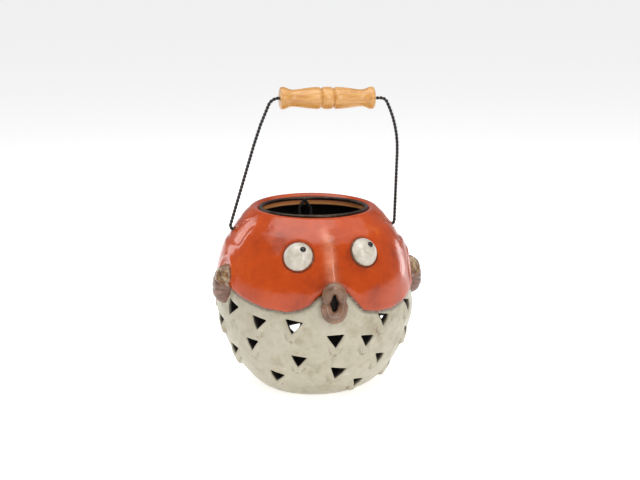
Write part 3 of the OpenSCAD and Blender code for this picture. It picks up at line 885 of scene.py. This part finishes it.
def bailPath():
    b = bail
    t = math.radians(b["tilt"])
    out, drop = b["gripLong"] / 2 * math.cos(t), b["gripLong"] / 2 * math.sin(t)
    right = leg(b["right"], (out + b["gripX"], b["gripZ"] - drop), b["tilt"])
    left = leg(b["left"], (out - b["gripX"], b["gripZ"] + drop), -b["tilt"])
    corners = np.array([(-x, 0, z) for x, z, _ in left[::-1]] + [(x, 0, z) for x, z, _ in right])
    apart = np.concatenate([[0], np.cumsum(np.linalg.norm(np.diff(corners, axis=0), axis=1))])
    keep = np.concatenate([[True], np.diff(apart) > 1e-6])
    even = np.linspace(0, apart[-1], int(apart[-1] / b["step"]))
    return np.stack([np.interp(even, apart[keep], corners[keep, i]) for i in range(3)], -1), even


def buildBail():
    # two strands, each a helix round the bail's path: offset (cos w, sin w) with w = 2 pi s / pitch
    b = bail
    path, along = bailPath()
    ahead = np.gradient(path, axis=0)
    ahead /= np.linalg.norm(ahead, axis=1)[:, None]
    side = np.cross(ahead, [0, 1, 0])
    parts = []
    for phase in (0, np.pi):
        w = 2 * np.pi * along / b["pitch"] + phase
        strand = path + b["apart"] * (np.cos(w)[:, None] * side + np.sin(w)[:, None] * np.array([0, 1, 0]))
        parts.append(tube(strand, b["strand"], (0, 1, 0), 9))
    points, faces = joined(parts)
    return makePiece("twistedBail", points, faces, body="bail")


def buildGrip():
    # the outline turned round the bail's top length, with a bore for the wire
    half = np.array(gripShape)
    outline = np.vstack([half, half[-2::-1] * [-1, 1]])
    rows, columns = len(outline), 96
    turn = np.linspace(0, 2 * np.pi, columns, endpoint=False)
    r = outline[:, 1][:, None]
    x = outline[:, 0][:, None] + 0 * turn
    y, z = r * np.cos(turn), r * np.sin(turn)
    t = math.radians(bail["tilt"])
    points = np.stack([x * math.cos(t) + z * math.sin(t), y, -x * math.sin(t) + z * math.cos(t)],
                      -1).reshape(-1, 3)
    j = np.arange(columns)
    k = (j + 1) % columns
    last = (rows - 1) * columns
    faces = [gridFaces(rows, columns, flip=True), np.stack([j, k, last + k, last + j], -1)[:, ::-1]]
    return makePiece("turnedGrip", points + [bail["gripX"], 0, bail["gripZ"]], faces, body="grip")


def annealedWire(name, dark, light, metallic, roughness):
    # black-annealed and lacquered steel wire: near black, with a dull brown sheen
    material, tree, shader = newMaterial(name, {"Metallic": metallic, "Roughness": roughness})
    where = addNode(tree, "TexCoord", out="Object")
    cloud, scale = [  # clouds of 4 mm and mill scale of 0.7 mm
        addNode(tree, "TexNoise", {}, {"Vector": where, "Scale": 1 / (size * mm), "Detail": detail,
                                       "Roughness": 0.55})
        for size, detail in ((4, 4), (0.7, 2))]
    tone = addNode(tree, "ValToRGB", {}, [cloud], [(0.35, dark), (0.7, light)])
    tree.links.new(tone, shader.inputs["Base Color"])
    bump = addNode(tree, "Bump", {}, {"Strength": 0.3, "Distance": 0.06 * mm, "Height": scale})
    tree.links.new(bump, shader.inputs["Normal"])
    return material


def varnishedBeech():
    # turned beech under clear varnish: pale brown, with long grain along the grip and short dark rays
    material, tree, shader = newMaterial("varnishedBeech", {"IOR": 1.5, "Roughness": 0.34,
                                                            "Coat Weight": 0.35,
                                                            "Coat Roughness": 0.12})
    where = addNode(tree, "TexCoord", out="Object")
    # grain 1.6 mm wide and drawn out 17 times along the grip, rays 0.45 mm wide and drawn out 6 times
    grain, rays = [
        addNode(tree, "TexNoise", {}, {
            "Vector": addNode(tree, "Mapping", {}, {"Vector": where, "Scale": (along, 1, 1)}),
            "Scale": 1 / (size * mm), "Detail": detail, "Roughness": rough})
        for along, size, detail, rough in ((0.06, 1.6, 5, 0.65), (0.16, 0.45, 2, 0.55))]
    tone = addNode(tree, "ValToRGB", {}, [grain], [(0.3, "#B47A3B"), (0.5, "#CA924D"), (0.7, "#DAA965")])
    flecks = addNode(tree, "ValToRGB", {}, [rays], [(0.62, 0.0), (0.74, 0.5)])
    whole = addNode(tree, "Mix", blend, {0: flecks, 6: tone, 7: "#9C6428"}, out=2)
    tree.links.new(whole, shader.inputs["Base Color"])
    bump = addNode(tree, "Bump", {}, {"Strength": 0.25, "Distance": 0.12 * mm, "Height": grain})
    tree.links.new(bump, shader.inputs["Normal"])
    return material


print("wire and wood")
lacquer = annealedWire("lacqueredWire", "#1D1916", "#2E2722", 0.0, 0.34)
twisted = buildBail()
twisted.data.materials.append(lacquer)
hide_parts("bail_wire")
handle = buildGrip()
handle.data.materials.append(varnishedBeech())
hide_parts("grip")
oiled = annealedWire("oiledRingWire", "#2E2620", "#51453C", 0.8, 0.36)
# the hangers' wire is painted near black, as painted shade for the dark inside of the globe they hang in
shadeBlack = annealedWire("shadeBlackHangerWire", "#040303", "#0A0908", 0.0, 0.95)
sheet = annealedWire("blackenedSheet", "#1B1714", "#2A2420", 0.35, 0.45)
for node in ("rim_ring", "hanger_back", "hanger_left", "hanger_right", "candle_cup"):
    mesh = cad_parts[node].data
    finish = {"candle_cup": sheet, "rim_ring": oiled}.get(node, shadeBlack)
    if len(mesh.materials) == 0:
        mesh.materials.append(finish)
    for index in range(len(mesh.materials)):
        mesh.materials[index] = finish


view = {"azimuth": -10.5, "elevation": 11.4, "distance": 1300.0, "aim": 122.9, "across": 5.46,
        "lens": 87.05}
studio = {"reach": 30000.0, "glow": 0.62, "room": 0.36}
lamps = {  # place, aim and size in mm, power in watts
    "leftSoftbox": ((-850, 850, 400), (0, 0, 90), (420, 900), 3.0),
    "rightStrip": ((1000, 560, 140), (0, 0, 90), (180, 320), 0.8),
    "topSoftbox": ((0, -200, 1200), (0, 0, 80), (2600, 1300), 10),
    "topInner": ((-150, -150, 1190), (0, 0, 80), (1400, 800), 6),
    "frontStrip": ((330, -1480, 660), (0, 0, 100), (380, 1100), 6.5),
}


def addStage():
    # a wide round floor: rings whose radius grows with the square of their number, closed by a fan
    rings, columns = 12, 64
    r = studio["reach"] * np.linspace(0.01, 1, rings)[:, None] ** 2
    turn = np.linspace(0, 2 * np.pi, columns, endpoint=False)
    points = np.stack([r * np.cos(turn), r * np.sin(turn), 0 * r + 0 * turn], -1).reshape(-1, 3)
    points = np.vstack([points, [[0, 0, 0]]])
    j = np.arange(columns)
    fan = np.stack([j, (j + 1) % columns, np.full(columns, len(points) - 1)], -1)
    mesh = bpy.data.meshes.new("studioFloor")
    mesh.from_pydata((points * mm).tolist(), [], gridFaces(rings, columns,
                                                           flip=True).tolist() + fan.tolist())
    mesh.shade_smooth()
    sweep = bpy.data.objects.new("studioFloor", mesh)
    bpy.context.scene.collection.objects.link(sweep)
    # opal acrylic lit from below, which hides its own far edge
    mesh.materials.append(newMaterial("litAcrylic", {"Roughness": 0.9, "Base Color": "#E4E4E4",
                                                     "Emission Color":
                                                     "#FFFFFF", "Emission Strength": studio["glow"]})[0])


def addLight(name, place, aim, size, power):
    data = bpy.data.lights.new(name, "AREA")
    data.shape, data.size, data.size_y = "RECTANGLE", size[0] * mm, size[1] * mm
    data.energy = power
    lamp = bpy.data.objects.new(name, data)
    lamp.location = Vector(place) * mm
    lamp.rotation_euler = (Vector(aim) - Vector(place)).to_track_quat("-Z", "Y").to_euler()
    bpy.context.scene.collection.objects.link(lamp)


def addCamera():
    a, e = math.radians(view["azimuth"]), math.radians(view["elevation"])
    back = Vector((math.sin(a) * math.cos(e), -math.cos(a) * math.cos(e), math.sin(e)))
    right = Vector((math.cos(a), math.sin(a), 0))
    aim = Vector((0, 0, view["aim"])) + right * view["across"]
    data = bpy.data.cameras.new("camera")
    data.lens, data.sensor_width = view["lens"], 36.0
    camera = bpy.data.objects.new("camera", data)
    camera.location = (aim + back * view["distance"]) * mm
    camera.rotation_euler = (-back).to_track_quat("-Z", "Y").to_euler()
    bpy.context.scene.collection.objects.link(camera)
    bpy.context.scene.camera = camera


print("light, floor and camera")
addStage()
for name, settings in lamps.items():
    addLight(name, *settings)
world = bpy.data.worlds.new("room")
world.use_nodes = True
world.node_tree.nodes["Background"].inputs["Color"].default_value = linear("#F2F2F4")
world.node_tree.nodes["Background"].inputs["Strength"].default_value = studio["room"]
bpy.context.scene.world = world
bpy.context.scene.view_settings.view_transform = "Standard"
addCamera()
